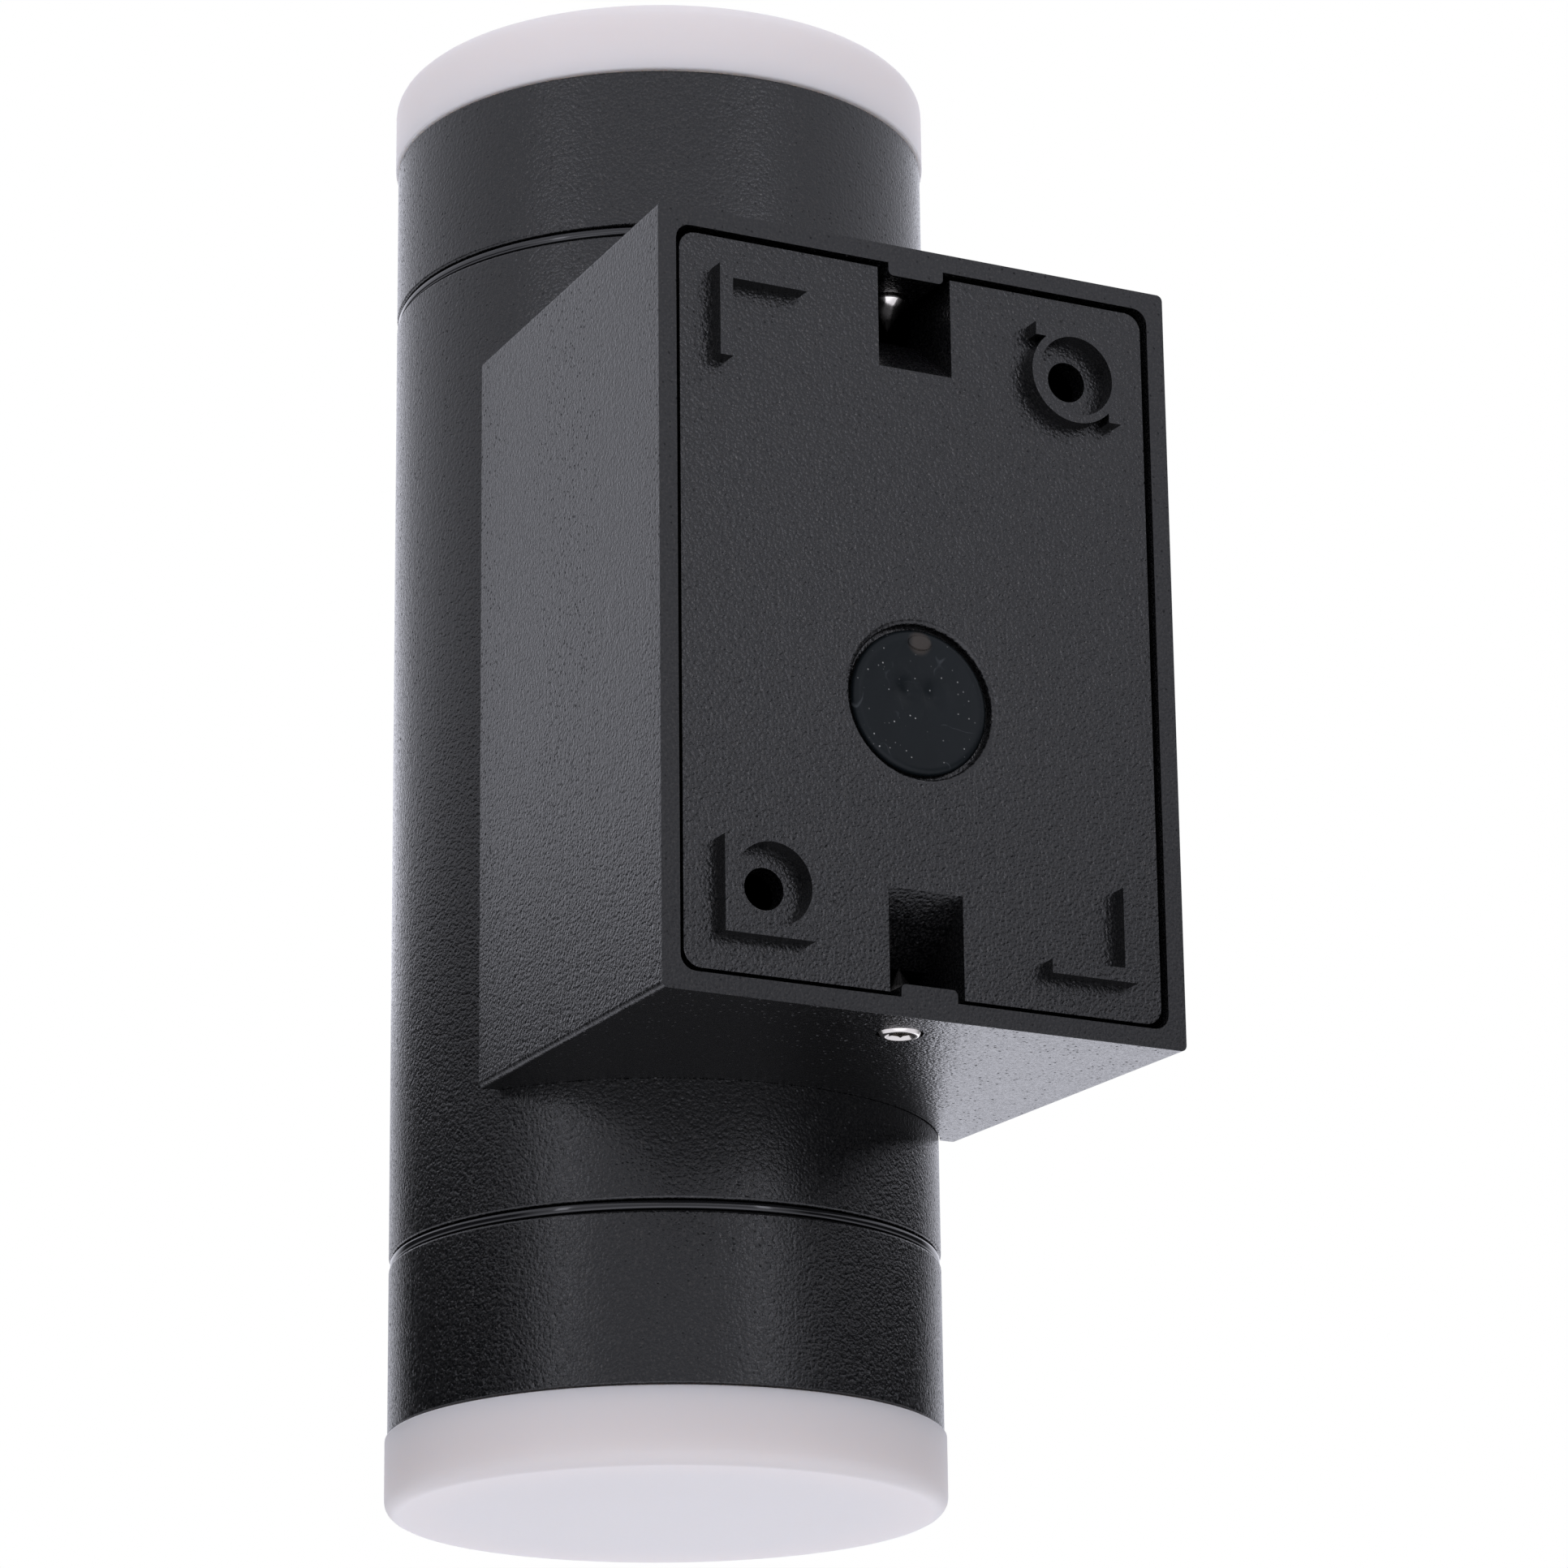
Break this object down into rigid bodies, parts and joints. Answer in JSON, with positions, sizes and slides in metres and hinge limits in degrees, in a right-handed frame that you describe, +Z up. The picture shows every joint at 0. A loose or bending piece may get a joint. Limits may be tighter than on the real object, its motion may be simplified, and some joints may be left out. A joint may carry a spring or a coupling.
{
  "type": "up and down wall lamp",
  "caption": "Black outdoor up-and-down wall lamp: round tube with opal ends on a drafted box that fits over a cast mounting plate.",
  "frame": {"origin": "centre of the wall plane: the plane of the mounting plate's rear ridges and bosses, level with the middle of the tube", "axes": "+Z up along the tube, +Y into the wall, +X to the right seen from in front of the lamp"},
  "size_m": [0.0656, 0.1003, 0.1776],
  "materials": {
    "black_coat": "fine-textured black powder coat on cast and extruded aluminium",
    "black_rubber": "moulded black silicone and EPDM rubber",
    "opal": "opal white acrylic, satin",
    "stainless": "bright stainless steel",
    "zinc_steel": "zinc-plated steel",
    "ceramic": "unglazed white lamp-holder ceramic",
    "lamp_white": "white moulded reflector-lamp body",
    "lamp_glass": "frosted lens",
    "terminal_plastic": "cream polyamide",
    "lead_sheath": "silicone-sheathed heat-resistant lead"
  },
  "bodies": {
    "wall_bracket": {"mounting_plate": "black_coat", "cable_grommet": "black_rubber"},
    "lamp_body": {"wall_box": "black_coat", "wire_bush": "black_rubber", "earth_screw": "zinc_steel", "terminal_block": "terminal_plastic", "terminal_fixing_screw": "zinc_steel", "terminal_screw_1": "zinc_steel", "terminal_screw_2": "zinc_steel", "terminal_screw_3": "zinc_steel", "terminal_screw_4": "zinc_steel", "terminal_screw_5": "zinc_steel", "terminal_screw_6": "zinc_steel", "upper_body_screw": "zinc_steel", "lower_body_screw": "zinc_steel", "upper_lead": "lead_sheath", "lower_lead": "lead_sheath", "body_tube": "black_coat", "holder_bracket": "zinc_steel", "upper_lamp_holder": "ceramic", "upper_holder_screw_left": "zinc_steel", "upper_holder_screw_right": "zinc_steel", "lower_lamp_holder": "ceramic", "lower_holder_screw_left": "zinc_steel", "lower_holder_screw_right": "zinc_steel"},
    "upper_screw": {"upper_grub_screw": "stainless"},
    "upper_lamp": {"upper_lamp_shell": "lamp_white", "upper_lamp_lens": "lamp_glass"},
    "upper_seal": {"upper_seal_ring": "black_rubber"},
    "upper_cap": {"upper_cap_ring": "black_coat", "upper_diffuser": "opal"},
    "lower_screw": {"lower_grub_screw": "stainless"},
    "lower_lamp": {"lower_lamp_shell": "lamp_white", "lower_lamp_lens": "lamp_glass"},
    "lower_seal": {"lower_seal_ring": "black_rubber"},
    "lower_cap": {"lower_cap_ring": "black_coat", "lower_diffuser": "opal"}
  },
  "joints": [
    {"name": "lamp_removal", "type": "slide", "parent": "wall_bracket", "child": "lamp_body", "axis": [0, -1, 0], "range_m": [0, 0.05]},
    {"name": "upper_screw_travel", "type": "slide", "parent": "lamp_body", "child": "upper_screw", "axis": [0, 0, 1], "range_m": [-0.0016, 0.0045]},
    {"name": "upper_lamp_twist", "type": "hinge", "parent": "lamp_body", "child": "upper_lamp", "pos_m": [0, -0.0675, 0.05], "axis": [0, 0, 1], "range_deg": [0, 30]},
    {"name": "upper_cap_lift", "type": "slide", "parent": "lamp_body", "child": "upper_seal", "axis": [0, 0, 1], "range_m": [0, 0.00601]},
    {"name": "upper_cap_turn", "type": "hinge", "parent": "upper_seal", "child": "upper_cap", "pos_m": [0, -0.0675, 0.07], "axis": [0, 0, 1], "range_deg": [0, 1440]},
    {"name": "lower_screw_travel", "type": "slide", "parent": "lamp_body", "child": "lower_screw", "axis": [0, 0, -1], "range_m": [-0.0016, 0.0045]},
    {"name": "lower_lamp_twist", "type": "hinge", "parent": "lamp_body", "child": "lower_lamp", "pos_m": [0, -0.0675, -0.05], "axis": [0, 0, -1], "range_deg": [0, 30]},
    {"name": "lower_cap_lift", "type": "slide", "parent": "lamp_body", "child": "lower_seal", "axis": [0, 0, -1], "range_m": [0, 0.00601]},
    {"name": "lower_cap_turn", "type": "hinge", "parent": "lower_seal", "child": "lower_cap", "pos_m": [0, -0.0675, -0.07], "axis": [0, 0, -1], "range_deg": [0, 1440]}
  ],
  "couplings": [
    {"joint": "upper_cap_lift", "follows": "upper_cap_turn", "m_per_rad": 0.00023873},
    {"joint": "lower_cap_lift", "follows": "lower_cap_turn", "m_per_rad": 0.00023873}
  ]
}
